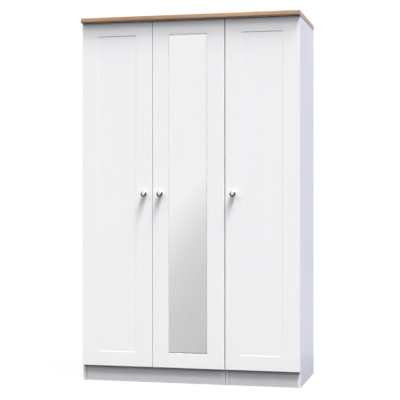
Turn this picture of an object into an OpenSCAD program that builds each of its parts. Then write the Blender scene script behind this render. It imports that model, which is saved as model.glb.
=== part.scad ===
// Three-door wardrobe: a two-door and a one-door carcass joined side by side under one oak top.
// The middle door carries a mirror. Frame: X to the right, Y to the back, Z up, in millimetres.
// Origin: on the floor, at the centre of the whole wardrobe's footprint.

/* [Overall] */
// Width over the oak top
overall_w = 1110; // [1050:5:1250]
// Height from the floor to the top face
overall_h = 1826; // [1750:1:2000]
// Depth of the oak top
top_d = 510; // [490:5:600]

/* [Oak top] */
// Thickness of the oak top
top_t = 24; // [20:1:30]
// How far the oak top stands in front of the door faces
top_front_overhang = 20; // [16:0.5:30]
// How far the oak top passes the carcass at each end
top_side_overhang = 1; // [0:0.5:5]
// Height of the rounded lower front edge
top_round = 8; // [4:1:12]

/* [Carcass] */
// Thickness of every carcass board
panel_t = 15; // [15:1:18]
// Width of the two-door carcass
double_w = 736; // [700:1:820]
// Gap between the two carcasses, kept by thin washers
carcass_gap = 2; // [1:0.5:2]
// Height of the plinth, up to the base boards
plinth_h = 77; // [60:1:100]
// How far the plinth boards lie behind the side boards' front edges
plinth_setback = 4; // [0:1:20]
// Thickness of the back boards
back_t = 3; // [3:1:6]
// Clear height between the hat shelf and the board above it
hat_space = 290; // [250:10:350]
// Height of the wall rail at the back of the hat space
wall_rail_h = 80; // [60:5:120]

/* [Doors] */
// Thickness of the doors
door_t = 16; // [16:1:20]
// Gap behind the closed doors
door_gap = 4; // [4:0.5:6]
// Gap under the oak top, above the doors
door_top_gap = 1.5; // [1.5:0.5:5]
// Width of the upright frame members
stile_w = 84; // [70:0.5:100]
// Height of the upper frame member
top_rail_h = 68; // [55:1:100]
// Height of the lower frame member
bottom_rail_h = 73; // [55:1:100]
// Depth of the sunk panel
recess_depth = 1.5; // [1:0.5:6]
// Width of the slope round the sunk panel
recess_slope = 0.6; // [0.4:0.1:10]
// Edge chamfer round the door's face
door_chamfer = 2; // [1:0.5:3]

/* [Mirror] */
// Thickness of the mirror glass
mirror_t = 4; // [3:1:5]
// How far the glass lies behind the door's face
mirror_sink = 1.5; // [1.5:0.5:4]
// Height of the channels that hold the glass at its lower and upper edges
channel_h = 5.5; // [4:0.5:10]
// How far the mirror lies off the door's centre line, towards the knob
mirror_shift = 3; // [0:0.5:5]

/* [Knobs] */
// Diameter of the knobs
knob_d = 34; // [25:1:40]
// How far the knobs stand out from the doors
knob_out = 28; // [22:1:35]
// Distance of the knobs from the door's free edge
knob_edge = 40; // [30:1:50]
// Height of the knobs above the floor
knob_z = 941; // [850:1:1100]

/* [Hinges] */
// Diameter of the hinge cups
cup_d = 35; // [35:1:35]
// Distance of the cup's edge from the door's edge
cup_edge = 4; // [4:0.5:4.5]
// Distance of the end hinges from the door's ends
hinge_end = 100; // [80:5:150]

/* [Hidden] */
$fn = 48;

// Finishes
WHITE = [0.93, 0.93, 0.94];
OAK = [0.69, 0.56, 0.44];
STEEL = [0.72, 0.72, 0.70];
PLASTIC = [0.88, 0.88, 0.88];

// Planes along Y
total_d = top_d + max(0, knob_out - top_front_overhang);
back_y = total_d / 2;
door_front_y = back_y - top_d + top_front_overhang;
door_back_y = door_front_y + door_t;
front_y = door_back_y + door_gap;
rebate_d = back_t + 1;
rebate_w = 7;
inner_back_y = back_y - rebate_d;

// Planes along Z
carcass_h = overall_h - top_t;
base_top_z = plinth_h + panel_t;
sub_top_z = carcass_h - panel_t;
shelf_z = sub_top_z - hat_space - panel_t;
door_z0 = plinth_h + 1;
door_z1 = carcass_h - door_top_gap;

// Planes along X
left_x = -overall_w / 2 + top_side_overhang;
right_x = -left_x;
seam_x = left_x + double_w;
side_gap = 1;
pair_gap = 2.3;
seam_gap = 2.2;
pair_x = left_x + double_w / 2;

// Bays: the clear span between the side boards of each carcass
seam_half = panel_t + carcass_gap / 2;
DOUBLE_BAY = [left_x + panel_t, seam_x - seam_half];
SINGLE_BAY = [seam_x + seam_half, right_x - panel_t];

// Doors: left edge, right edge, and +1 where the hinges are on the left edge, -1 on the right,
// and how far the hinged edge lies inside its side board's outer face
LEFT_DOOR = [left_x + side_gap, pair_x - pair_gap / 2, 1, side_gap];
CENTRE_DOOR = [pair_x + pair_gap / 2, seam_x - seam_gap, -1, seam_gap - carcass_gap / 2];
RIGHT_DOOR = [seam_x + seam_gap, right_x - side_gap, -1, side_gap];
DOORS = [LEFT_DOOR, CENTRE_DOOR, RIGHT_DOOR];

function hinge_x(d) = d[2] > 0 ? d[0] : d[1];
function knob_x(d) = d[2] > 0 ? d[1] - knob_edge : d[0] + knob_edge;
hinge_heights = [door_z0 + hinge_end, (door_z0 + door_z1) / 2, door_z1 - hinge_end];

// ---- Helpers ----

module block(x, y, z) {
    translate([x[0], y[0], z[0]]) cube([x[1] - x[0], y[1] - y[0], z[1] - z[0]]);
}

// Cylinders along X and Y, from one coordinate to another
module rod_x(x0, x1, r) translate([x0, 0, 0]) rotate([0, 90, 0]) cylinder(h = x1 - x0, r = r);
module rod_y(y0, y1, r) translate([0, y0, 0]) rotate([-90, 0, 0]) cylinder(h = y1 - y0, r = r);

// A stadium outline, long along X
module stadium(length, width) {
    span = length - width;
    square([span, width], center = true);
    for (s = [-1, 1]) translate([s * span / 2, 0]) circle(d = width);
}

// A bent strip of even thickness along a path of points
function unit(v) = v / norm(v);
function normal_at(path, i) =
    let (a = i > 0 ? unit(path[i] - path[i - 1]) : unit(path[1] - path[0]),
         b = i < len(path) - 1 ? unit(path[i + 1] - path[i]) : a,
         m = unit(a + b))
    [-m[1], m[0]] / (m * b);
module strip(path, thickness) {
    h = thickness / 2;
    last = len(path) - 1;
    polygon(concat([for (i = [0:last]) path[i] + h * normal_at(path, i)],
                   [for (i = [last:-1:0]) path[i] - h * normal_at(path, i)]));
}

// A pan screw along +Y whose head rests at y = 0 and whose shank runs to y = -length
module pan_screw(head_r, head_h, shank_r, length) {
    difference() {
        union() {
            rod_y(0, head_h * 0.6, head_r);
            rod_y(head_h * 0.6 - 0.01, head_h, head_r * 0.8);
            rod_y(-length, 0.01, shank_r);
        }
        for (a = [0, 90]) rotate([0, a, 0])
            translate([-head_r * 0.5, head_h * 0.45, -0.45]) cube([head_r, head_h, 0.9]);
    }
}

// ---- Oak top ----

oak_arris = 1.5;
round_steps = 8;
function top_section(y0) = concat(
    [[y0 + oak_arris, top_t], [y0, top_t - oak_arris]],
    [for (i = [0:round_steps]) let (a = 90 * i / round_steps)
        [y0 + top_round * (1 - cos(a)), top_round * (1 - sin(a))]],
    [[back_y, 0], [back_y, top_t]]);

module oak_top() {
    color(OAK) translate([-overall_w / 2, 0, carcass_h])
        rotate([90, 0, 90]) linear_extrude(overall_w) polygon(top_section(back_y - top_d));
}

// ---- Carcass ----

// A side board from the floor to the oak top, rebated for the back board on its inner face
module side_panel(x0, inner) {
    rebate_x = inner > 0 ? [x0 + panel_t - rebate_w, x0 + panel_t + 1] : [x0 - 1, x0 + rebate_w];
    color(WHITE) difference() {
        block([x0, x0 + panel_t], [front_y, back_y], [0, carcass_h]);
        block(rebate_x, [inner_back_y, back_y + 1], [plinth_h, carcass_h + 1]);
        if (abs(x0 - seam_x) < 2 * panel_t)
            at_connectors() rod_x(-2 * panel_t, 2 * panel_t, connector_r + 0.1);
    }
}
module left_side_panel() side_panel(left_x, 1);
module double_right_side_panel() side_panel(seam_x - seam_half, -1);
module single_left_side_panel() side_panel(seam_x + carcass_gap / 2, 1);
module right_side_panel() side_panel(right_x - panel_t, -1);

cam_r = 7.5;
cam_h = 12;
cam_reach = 24;
bolt_r = 3.5;
cam_ys = [front_y + 70, inner_back_y - 70];

// A level board between two sides. cam_side is +1 where the cams are let in from above, -1 from below
module level_board(bay, y, z0, cam_side) {
    cam_z = cam_side > 0 ? z0 + panel_t - cam_h : z0 - 1;
    color(WHITE) difference() {
        block(bay, y, [z0, z0 + panel_t]);
        for (cy = cam_ys, end = [0, 1]) {
            s = end == 0 ? 1 : -1;
            translate([bay[end] + s * cam_reach, cy, cam_z]) cylinder(h = cam_h + 1, r = cam_r + 0.1);
            translate([bay[end] + s * cam_reach / 2, cy, z0 + panel_t / 2])
                rod_x(-cam_reach / 2 - 1, cam_reach / 2, bolt_r + 0.3);
            translate([bay[end] + s * (cam_reach / 2 - 1), cy, z0 + panel_t / 2])
                rod_x(-cam_reach / 2, cam_reach / 2, bolt_r + 0.3);
        }
    }
}

full_depth = [front_y, inner_back_y];
shelf_depth = [front_y + 20, inner_back_y];
module double_sub_top() level_board(DOUBLE_BAY, full_depth, sub_top_z, 1);
module single_sub_top() level_board(SINGLE_BAY, full_depth, sub_top_z, 1);
module double_base_panel() level_board(DOUBLE_BAY, full_depth, plinth_h, -1);
module single_base_panel() level_board(SINGLE_BAY, full_depth, plinth_h, -1);
module double_hat_shelf() level_board(DOUBLE_BAY, shelf_depth, shelf_z, -1);
module single_hat_shelf() level_board(SINGLE_BAY, shelf_depth, shelf_z, -1);

// Wall screws pass through the wall rail and the back board
wall_hole_r = 2.5;
wall_hole_inset = 60;
wall_rail_z = [sub_top_z - wall_rail_h, sub_top_z];
wall_hole_z = (wall_rail_z[0] + wall_rail_z[1]) / 2;
module wall_holes(bay) {
    for (x = [bay[0] + wall_hole_inset, bay[1] - wall_hole_inset])
        translate([x, 0, wall_hole_z]) rod_y(inner_back_y - 2 * panel_t, back_y + 5, wall_hole_r);
}

module back_panel(bay) {
    color(WHITE) difference() {
        block([bay[0] - rebate_w, bay[1] + rebate_w], [inner_back_y, inner_back_y + back_t], [plinth_h, carcass_h]);
        wall_holes(bay);
    }
}
module double_back_panel() back_panel(DOUBLE_BAY);
module single_back_panel() back_panel(SINGLE_BAY);

module wall_rail(bay) {
    color(WHITE) difference() {
        block(bay, [inner_back_y - panel_t, inner_back_y], wall_rail_z);
        wall_holes(bay);
    }
}
module double_wall_rail() wall_rail(DOUBLE_BAY);
module single_wall_rail() wall_rail(SINGLE_BAY);

plinth_y = front_y + plinth_setback;
rear_plinth_y = inner_back_y - 40;
module plinth(bay, y0) color(WHITE) block(bay, [y0, y0 + panel_t], [0, plinth_h]);
module double_plinth() plinth(DOUBLE_BAY, plinth_y);
module single_plinth() plinth(SINGLE_BAY, plinth_y);
module double_rear_plinth() plinth(DOUBLE_BAY, rear_plinth_y);
module single_rear_plinth() plinth(SINGLE_BAY, rear_plinth_y);

// Dowels peg the ends of the plinth boards to the sides
dowel_r = 3;
dowel_half = 11;
module plinth_dowels() {
    color([0.80, 0.65, 0.45])
        for (bay = [DOUBLE_BAY, SINGLE_BAY], x = bay, y = [plinth_y, rear_plinth_y], z = [18, plinth_h - 18])
            translate([x, y + panel_t / 2, z]) rod_x(-dowel_half, dowel_half, dowel_r);
}

// ---- Hanging rails ----

rail_w = 30;
rail_t = 15;
rail_wall = 1.2;
rail_y = (front_y + inner_back_y) / 2;
rail_z = shelf_z - 50;
socket_t = 3;
socket_depth = 12;

// The oval outline of the rail stands upright: long along Z, extruded along X
module along_bay(x0, length) {
    translate([x0, rail_y, rail_z]) rotate([90, 0, 90]) linear_extrude(length) rotate(90) children();
}
module hanging_rail(bay) {
    length = bay[1] - bay[0] - 2 * socket_t - 1;
    color(STEEL) along_bay(bay[0] + socket_t + 0.5, length) difference() {
        stadium(rail_w, rail_t);
        stadium(rail_w - 2 * rail_wall, rail_t - 2 * rail_wall);
    }
}
module double_hanging_rail() hanging_rail(DOUBLE_BAY);
module single_hanging_rail() hanging_rail(SINGLE_BAY);

SOCKETS = [[DOUBLE_BAY[0], 1], [DOUBLE_BAY[1], -1], [SINGLE_BAY[0], 1], [SINGLE_BAY[1], -1]];
socket_screw_z = rail_w / 2 + 10;
module facing(x, dir) {
    translate([x, 0, 0]) if (dir > 0) children();
    translate([x, 0, 0]) if (dir < 0) mirror([1, 0, 0]) children();
}
module rail_sockets() {
    color(STEEL) for (s = SOCKETS) facing(s[0], s[1]) difference() {
        union() {
            along_bay(0, socket_t) stadium(rail_w + 34, rail_t + 10);
            along_bay(0, socket_depth) stadium(rail_w + 4.4, rail_t + 4.4);
        }
        along_bay(socket_t, socket_depth) stadium(rail_w + 0.4, rail_t + 0.4);
        for (z = [-1, 1]) translate([0, rail_y, rail_z + z * (socket_screw_z + 2)]) rod_x(-1, socket_t + 1, 2.1);
    }
}
module rail_socket_screws() {
    color(STEEL) for (s = SOCKETS, z = [-1, 1]) facing(s[0], s[1])
        translate([socket_t, rail_y, rail_z + z * (socket_screw_z + 2)])
            rotate([0, 0, -90]) pan_screw(3.8, 2.2, 2, 14);
}

// ---- Fastenings ----

LEVEL_BOARDS = [
    [DOUBLE_BAY, sub_top_z, 1], [SINGLE_BAY, sub_top_z, 1],
    [DOUBLE_BAY, plinth_h, -1], [SINGLE_BAY, plinth_h, -1],
    [DOUBLE_BAY, shelf_z, -1], [SINGLE_BAY, shelf_z, -1],
];
module cam_locks() {
    color(STEEL) for (b = LEVEL_BOARDS, cy = cam_ys, end = [0, 1]) {
        s = end == 0 ? 1 : -1;
        z0 = b[2] > 0 ? b[1] + panel_t - cam_h : b[1];
        cross_z = b[2] > 0 ? z0 + cam_h - 1.5 : z0 - 1;
        facing(b[0][end] + s * cam_reach, s) difference() {
            translate([0, cy, z0]) cylinder(h = cam_h - 0.2, r = cam_r - 0.1);
            translate([0, cy, b[1] + panel_t / 2]) rod_x(-cam_r - 1, 3.2, bolt_r + 0.5);
            for (a = [45, 135]) translate([0, cy, cross_z]) rotate(a)
                translate([-4, -0.8, 0]) cube([8, 1.6, 2.5]);
        }
    }
}
module cam_bolts() {
    color(STEEL) for (b = LEVEL_BOARDS, cy = cam_ys, end = [0, 1]) {
        s = end == 0 ? 1 : -1;
        facing(b[0][end], s) translate([0, cy, b[1] + panel_t / 2]) {
            rod_x(-11, 0.01, 2.5);
            rod_x(0, cam_reach - 5, bolt_r);
            rod_x(cam_reach - 5.01, cam_reach - 2, 2);
            rod_x(cam_reach - 2.01, cam_reach + 1, bolt_r);
        }
    }
}

connector_r = 4;
connector_head_r = 8;
connector_head_t = 2.5;
module at_connectors() {
    for (y = [front_y + 110, inner_back_y - 60], z = [420, 1250])
        translate([seam_x, y, z]) children();
}
module connector_sleeves() {
    color(STEEL) at_connectors() difference() {
        union() {
            rod_x(-seam_half - connector_head_t, -seam_half, connector_head_r);
            rod_x(-seam_half - 0.01, seam_half - 1, connector_r);
        }
        rod_x(-seam_half + 4, seam_half, 2.6);
        translate([-seam_half - connector_head_t - 1, -4, -0.8]) cube([2.5, 8, 1.6]);
        translate([-seam_half - connector_head_t - 1, -0.8, -4]) cube([2.5, 1.6, 8]);
    }
}
module connector_bolts() {
    color(STEEL) at_connectors() difference() {
        union() {
            rod_x(seam_half, seam_half + connector_head_t, connector_head_r);
            rod_x(-seam_half + 6, seam_half + 0.01, 2.5);
        }
        translate([seam_half + 1, -4, -0.8]) cube([2.5, 8, 1.6]);
        translate([seam_half + 1, -0.8, -4]) cube([2.5, 1.6, 8]);
    }
}
module seam_washers() {
    color(PLASTIC) at_connectors() difference() {
        rod_x(-carcass_gap / 2, carcass_gap / 2, 11);
        rod_x(-carcass_gap, carcass_gap, connector_r + 0.1);
    }
}

module oak_top_screws() {
    color(STEEL) for (bay = [DOUBLE_BAY, SINGLE_BAY], y = [front_y + 40, inner_back_y - 110])
        for (x = [bay[0] + 70, bay[1] - 70])
            translate([x, y, sub_top_z]) rotate([-90, 0, 0]) pan_screw(4, 2.4, 2.2, panel_t + 15);
}

pin_pitch = 150;
module pins_on_line(a, b) {
    n = ceil(norm(b - a) / pin_pitch);
    for (i = [0:n]) translate([0, inner_back_y + back_t, 0] + a + (b - a) * i / n) {
        rod_y(0, 0.6, 2.2);
        rod_y(-14, 0.01, 0.8);
    }
}
module back_panel_pins() {
    color(STEEL) for (bay = [DOUBLE_BAY, SINGLE_BAY]) {
        for (x = [bay[0] - rebate_w / 2, bay[1] + rebate_w / 2])
            pins_on_line([x, 0, plinth_h + 40], [x, 0, carcass_h - 40]);
        for (z = [plinth_h, shelf_z, sub_top_z])
            pins_on_line([bay[0] + 60, 0, z + panel_t / 2], [bay[1] - 60, 0, z + panel_t / 2]);
    }
}

// ---- Hinges ----
// A cup hinge in its own frame: x runs inwards from the door's hinged edge, y backwards from the
// door's back face. A hooked arm on the side board reaches into the cup and turns on the cup's pin.

cup_r = cup_d / 2;
cup_x = cup_edge + cup_r;
cup_depth = 13;
cup_wall = 0.8;
flange_t = 1.2;
pivot = [8.8, -8.9];
pin_r = 1.5;
eye_clearance = 0.05;
cup_screw = [cup_x + 9.5, 22.5];
arm_t = 2.5;
hook_x = 31.8;
arm_x = 24;
arm_end_y = 57;
plate_y = 37 + door_gap;
plate_screw_z = 16;
arm_screw_ys = [30, 51];

module at_hinges(d) {
    for (z = hinge_heights) translate([hinge_x(d), door_back_y, z]) {
        if (d[2] > 0) children();
        else mirror([1, 0, 0]) children();
    }
}

module hinge_cup() {
    difference() {
        union() {
            translate([cup_x, 0, 0]) rod_y(-cup_depth, flange_t, cup_r);
            translate([cup_x, 0, 0]) rod_y(0, flange_t, cup_r + 1.4);
            block([cup_x + 2, cup_x + 17], [0, flange_t], [-25, 25]);
            for (z = [-1, 1]) translate([cup_screw[0], 0, z * 25]) rod_y(0, flange_t, 5);
        }
        translate([cup_x, 0, 0]) rod_y(-cup_depth + cup_wall, flange_t + 1, cup_r - cup_wall);
        for (z = [-1, 1]) translate([cup_screw[0], 0, z * cup_screw[1]]) rod_y(-1, flange_t + 1, 2);
    }
    translate([pivot[0], pivot[1], -10.4]) cylinder(h = 20.8, r = pin_r);
}

module hinge_arm() {
    difference() {
        union() {
            translate([pivot[0], pivot[1], -5]) cylinder(h = 10, r = 3);
            translate([0, 0, -5]) linear_extrude(10)
                strip([pivot, [hook_x - 3, pivot[1]], [hook_x, pivot[1] + 3], [hook_x, 5], [arm_x, 14], [arm_x, 20]], arm_t);
            block([arm_x - arm_t / 2, arm_x + arm_t / 2], [17, arm_end_y], [-7, 7]);
            for (z = [-8.2, 7]) block([arm_x - 4, arm_x + arm_t / 2], [17, arm_end_y], [z, z + 1.2]);
        }
        translate([pivot[0], pivot[1], -6]) cylinder(h = 12, r = pin_r + eye_clearance);
        for (y = arm_screw_ys) translate([0, y, 0]) rod_x(arm_x - 5, arm_x + 5, 2.1);
    }
}

// face_x is where the side board's inner face lies
module hinge_plate(face_x) {
    top_x = arm_x - arm_t / 2;
    difference() {
        union() {
            block([face_x, top_x], [22, arm_end_y], [-6.4, 6.4]);
            block([face_x, face_x + 2], [plate_y - 8, plate_y + 8], [-20, 20]);
            for (z = [-20, 20]) translate([0, plate_y, z]) rod_x(face_x, face_x + 2, 8);
        }
        for (z = [-1, 1]) translate([0, plate_y, z * plate_screw_z]) rod_x(face_x - 1, face_x + 3, 2.6);
        for (y = arm_screw_ys) translate([0, y, 0]) rod_x(face_x + 1, top_x + 1, 2.05);
    }
}

function inner_face(d) = panel_t - d[3];
module left_hinge_plates() color(STEEL) at_hinges(LEFT_DOOR) hinge_plate(inner_face(LEFT_DOOR));
module centre_hinge_plates() color(STEEL) at_hinges(CENTRE_DOOR) hinge_plate(inner_face(CENTRE_DOOR));
module right_hinge_plates() color(STEEL) at_hinges(RIGHT_DOOR) hinge_plate(inner_face(RIGHT_DOOR));
module left_hinge_arms() color(STEEL) at_hinges(LEFT_DOOR) hinge_arm();
module centre_hinge_arms() color(STEEL) at_hinges(CENTRE_DOOR) hinge_arm();
module right_hinge_arms() color(STEEL) at_hinges(RIGHT_DOOR) hinge_arm();

module hinge_plate_screws() {
    color(STEEL) for (d = DOORS) at_hinges(d) for (z = [-1, 1])
        translate([inner_face(d) + 2, plate_y, z * plate_screw_z])
            rotate([0, 0, -90]) pan_screw(4.2, 2.4, 2.5, 13);
}
module hinge_arm_screws() {
    color(STEEL) for (d = DOORS) at_hinges(d) for (y = arm_screw_ys)
        translate([arm_x + arm_t / 2, y, 0]) rotate([0, 0, -90]) pan_screw(3.8, 2.4, 2, 9);
}
module left_hinge_cups() color(STEEL) at_hinges(LEFT_DOOR) hinge_cup();
module centre_hinge_cups() color(STEEL) at_hinges(CENTRE_DOOR) hinge_cup();
module right_hinge_cups() color(STEEL) at_hinges(RIGHT_DOOR) hinge_cup();

module cup_screws(d) {
    color(STEEL) at_hinges(d) for (z = [-1, 1])
        translate([cup_screw[0], flange_t, z * cup_screw[1]]) pan_screw(3.6, 2, 1.75, 12);
}
module left_cup_screws() cup_screws(LEFT_DOOR);
module centre_cup_screws() cup_screws(CENTRE_DOOR);
module right_cup_screws() cup_screws(RIGHT_DOOR);

// ---- Doors ----

// A flat-topped block whose four sides slope: span a at plane y0 grows to span b at plane y1
module tapered(x, z, y0, y1, grow) {
    intersection() {
        translate([0, 0, z[0] - abs(grow)]) linear_extrude(z[1] - z[0] + 2 * abs(grow)) polygon([
            [x[0], y0], [x[1], y0], [x[1] + grow, y1], [x[0] - grow, y1]]);
        translate([x[1] + abs(grow), 0, 0]) rotate([0, -90, 0])
            linear_extrude(x[1] - x[0] + 2 * abs(grow)) polygon([
                [z[0], y0], [z[1], y0], [z[1] + grow, y1], [z[0] - grow, y1]]);
    }
}

function recess_x(d) = [d[0] + stile_w, d[1] - stile_w];
recess_z = [door_z0 + bottom_rail_h, door_z1 - top_rail_h];

module door_slab(d) {
    c = door_chamfer;
    block([d[0], d[1]], [door_front_y + c, door_back_y], [door_z0, door_z1]);
    tapered([d[0] + c, d[1] - c], [door_z0 + c, door_z1 - c], door_front_y, door_front_y + c, c);
}

// A sunk panel: its mouth is at the door's face, and its slope runs in to the panel
module recess(rx, depth, slope) {
    e = 1;
    grow = slope * e / depth;
    tapered([rx[0] - grow, rx[1] + grow], [recess_z[0] - grow, recess_z[1] + grow],
        door_front_y - e, door_front_y + depth, -(slope + grow));
}

module door_bores(d) {
    at_hinges(d) translate([cup_x, 0, 0]) rod_y(-cup_depth - 0.1, 1, cup_r + 0.1);
    translate([knob_x(d), 0, knob_z]) rod_y(door_front_y - 1, door_back_y + 1, 2.3);
}
module panel_door(d) {
    color(WHITE) difference() {
        door_slab(d);
        recess(recess_x(d), recess_depth, recess_slope);
        door_bores(d);
    }
}
module left_door() panel_door(LEFT_DOOR);
module right_door() panel_door(RIGHT_DOOR);

// The mirror lies on tape in a square pocket behind a narrow slope
mirror_slope = 0.8;
tape_t = 1;
pocket_depth = mirror_sink + mirror_t + tape_t;
mirror_mouth = [for (x = recess_x(CENTRE_DOOR)) x - mirror_shift];
mirror_x = [mirror_mouth[0] + mirror_slope, mirror_mouth[1] - mirror_slope];
mirror_z = [recess_z[0] + mirror_slope, recess_z[1] - mirror_slope];
glass_y = [door_front_y + mirror_sink, door_front_y + mirror_sink + mirror_t];

module centre_door() {
    color(WHITE) difference() {
        door_slab(CENTRE_DOOR);
        recess(mirror_mouth, mirror_sink, mirror_slope);
        block(mirror_x, [door_front_y + 1, door_front_y + pocket_depth], mirror_z);
        door_bores(CENTRE_DOOR);
    }
}

glass_gap = 0.3;
glass_x = [mirror_x[0] + glass_gap, mirror_x[1] - glass_gap];
glass_z = [mirror_z[0] + 1.2, mirror_z[1] - 1.2];
module mirror_glass() color([0.80, 0.81, 0.82]) block(glass_x, glass_y, glass_z);

tape_w = 20;
module mirror_tape() {
    y = [glass_y[1], glass_y[1] + tape_t];
    z = [glass_z[0] + 20, glass_z[1] - 20];
    color([0.2, 0.2, 0.2]) {
        for (x = [glass_x[0] + 10, glass_x[1] - 10 - tape_w]) block([x, x + tape_w], y, z);
        block([glass_x[0] + 60, glass_x[1] - 60], y, [z[0], z[0] + tape_w]);
        block([glass_x[0] + 60, glass_x[1] - 60], y, [z[1] - tape_w, z[1]]);
    }
}

// L-shaped strips hold the glass's lower and upper edges
module mirror_channel() {
    color([0.55, 0.55, 0.56]) {
        block(mirror_x, [glass_y[0] - 1, glass_y[1]], [mirror_z[0], mirror_z[0] + 1]);
        block(mirror_x, [glass_y[0] - 1, glass_y[0] - 0.1], [mirror_z[0], mirror_z[0] + channel_h]);
        block(mirror_x, [glass_y[0] - 1, glass_y[1]], [mirror_z[1] - 1, mirror_z[1]]);
        block(mirror_x, [glass_y[0] - 1, glass_y[0] - 0.1], [mirror_z[1] - channel_h, mirror_z[1]]);
    }
}

// ---- Knobs ----

// Outline from the door's face outwards: a small foot, a neck and a flattened ball
ball_r = knob_d / 2;
ball_half = 11;
neck_r = 5.5;
knob_outline = concat(
    [[0, 0], [8.5, 0], [8.5, 1.2], [7, 2.2], [neck_r + 0.4, 4.5]],
    [for (a = [-69:9:87]) [ball_r * cos(a), knob_out - ball_half + ball_half * sin(a)]],
    [[0, knob_out]]);
module at_knob(d) translate([knob_x(d), door_front_y, knob_z]) rotate([90, 0, 0]) children();
module knob(d) {
    color(STEEL) at_knob(d) difference() {
        rotate_extrude() polygon(knob_outline);
        translate([0, 0, -1]) cylinder(h = 15, r = 2.05);
    }
}
module left_knob() knob(LEFT_DOOR);
module centre_knob() knob(CENTRE_DOOR);
module right_knob() knob(RIGHT_DOOR);

module knob_screw(d) {
    color(STEEL) translate([knob_x(d), door_back_y, knob_z]) pan_screw(4.2, 2.4, 2, door_t + 12);
}
module left_knob_screw() knob_screw(LEFT_DOOR);
module centre_knob_screw() knob_screw(CENTRE_DOOR);
module right_knob_screw() knob_screw(RIGHT_DOOR);

// Round buffers at the free edge's ends keep the closed door off the carcass
module door_buffers(d) {
    x = d[2] > 0 ? d[1] - 12 : d[0] + 12;
    color([0.85, 0.87, 0.88]) for (z = [door_z0 + 8, door_z1 - 8])
        translate([x, door_back_y, z]) {
            rod_y(0, door_gap - 1.2, 5);
            rod_y(door_gap - 1.21, door_gap - 0.4, 3.6);
        }
}
module left_door_buffers() door_buffers(LEFT_DOOR);
module centre_door_buffers() door_buffers(CENTRE_DOOR);
module right_door_buffers() door_buffers(RIGHT_DOOR);

// ---- Nodes ----

oak_top();
left_side_panel();
double_right_side_panel();
single_left_side_panel();
right_side_panel();
double_sub_top();
single_sub_top();
double_base_panel();
single_base_panel();
double_hat_shelf();
single_hat_shelf();
double_back_panel();
single_back_panel();
double_plinth();
single_plinth();
double_rear_plinth();
single_rear_plinth();
plinth_dowels();
double_wall_rail();
single_wall_rail();
double_hanging_rail();
single_hanging_rail();
rail_sockets();
rail_socket_screws();
cam_locks();
cam_bolts();
connector_sleeves();
connector_bolts();
seam_washers();
oak_top_screws();
back_panel_pins();
left_hinge_plates();
centre_hinge_plates();
right_hinge_plates();
left_hinge_arms();
centre_hinge_arms();
right_hinge_arms();
hinge_plate_screws();
hinge_arm_screws();
left_door();
centre_door();
right_door();
mirror_glass();
mirror_tape();
mirror_channel();
left_knob();
centre_knob();
right_knob();
left_knob_screw();
centre_knob_screw();
right_knob_screw();
left_hinge_cups();
centre_hinge_cups();
right_hinge_cups();
left_cup_screws();
centre_cup_screws();
right_cup_screws();
left_door_buffers();
centre_door_buffers();
right_door_buffers();
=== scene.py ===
"""Three-door wardrobe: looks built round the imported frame. Metres, X right, Y back, Z up."""

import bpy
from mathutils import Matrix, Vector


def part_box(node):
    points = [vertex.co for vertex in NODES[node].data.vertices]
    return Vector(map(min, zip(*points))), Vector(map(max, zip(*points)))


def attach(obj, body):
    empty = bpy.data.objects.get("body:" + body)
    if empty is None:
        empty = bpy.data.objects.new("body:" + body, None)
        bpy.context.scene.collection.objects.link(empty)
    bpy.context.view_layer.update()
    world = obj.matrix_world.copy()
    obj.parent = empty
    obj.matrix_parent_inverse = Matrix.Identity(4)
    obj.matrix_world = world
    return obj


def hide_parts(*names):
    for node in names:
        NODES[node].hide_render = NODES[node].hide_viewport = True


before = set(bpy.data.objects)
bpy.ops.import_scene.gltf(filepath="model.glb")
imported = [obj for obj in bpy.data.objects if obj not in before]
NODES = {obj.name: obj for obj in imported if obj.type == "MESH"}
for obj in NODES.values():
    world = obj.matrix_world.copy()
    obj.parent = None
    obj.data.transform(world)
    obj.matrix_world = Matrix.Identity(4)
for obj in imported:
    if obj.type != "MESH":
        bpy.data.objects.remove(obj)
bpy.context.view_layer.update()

import math

import bmesh
import bpy
import numpy as np
from mathutils import Vector

SIDES = ("left", "centre", "right")


# ---- Camera ----

LENS = 100.33
SENSOR_WIDTH = 36
LENS_SHIFT = 0.0014
CAMERA_SPOT = (1.3268, -5.576, 0.908)
CAMERA_TURN = 13.36


def add_object(name, data):
    obj = bpy.data.objects.new(name, data)
    bpy.context.scene.collection.objects.link(obj)
    return obj


def make_camera():
    data = bpy.data.cameras.new("camera")
    data.lens = LENS
    data.sensor_width = SENSOR_WIDTH
    data.shift_y = LENS_SHIFT
    data.dof.use_dof = False
    camera = add_object("camera", data)
    camera.location = CAMERA_SPOT
    camera.rotation_euler = (math.radians(90), 0, math.radians(CAMERA_TURN))
    bpy.context.scene.camera = camera


make_camera()
bpy.context.scene.view_settings.view_transform = "Standard"
bpy.context.scene.view_settings.look = "None"


# ---- Node trees written as Python ----

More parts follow.
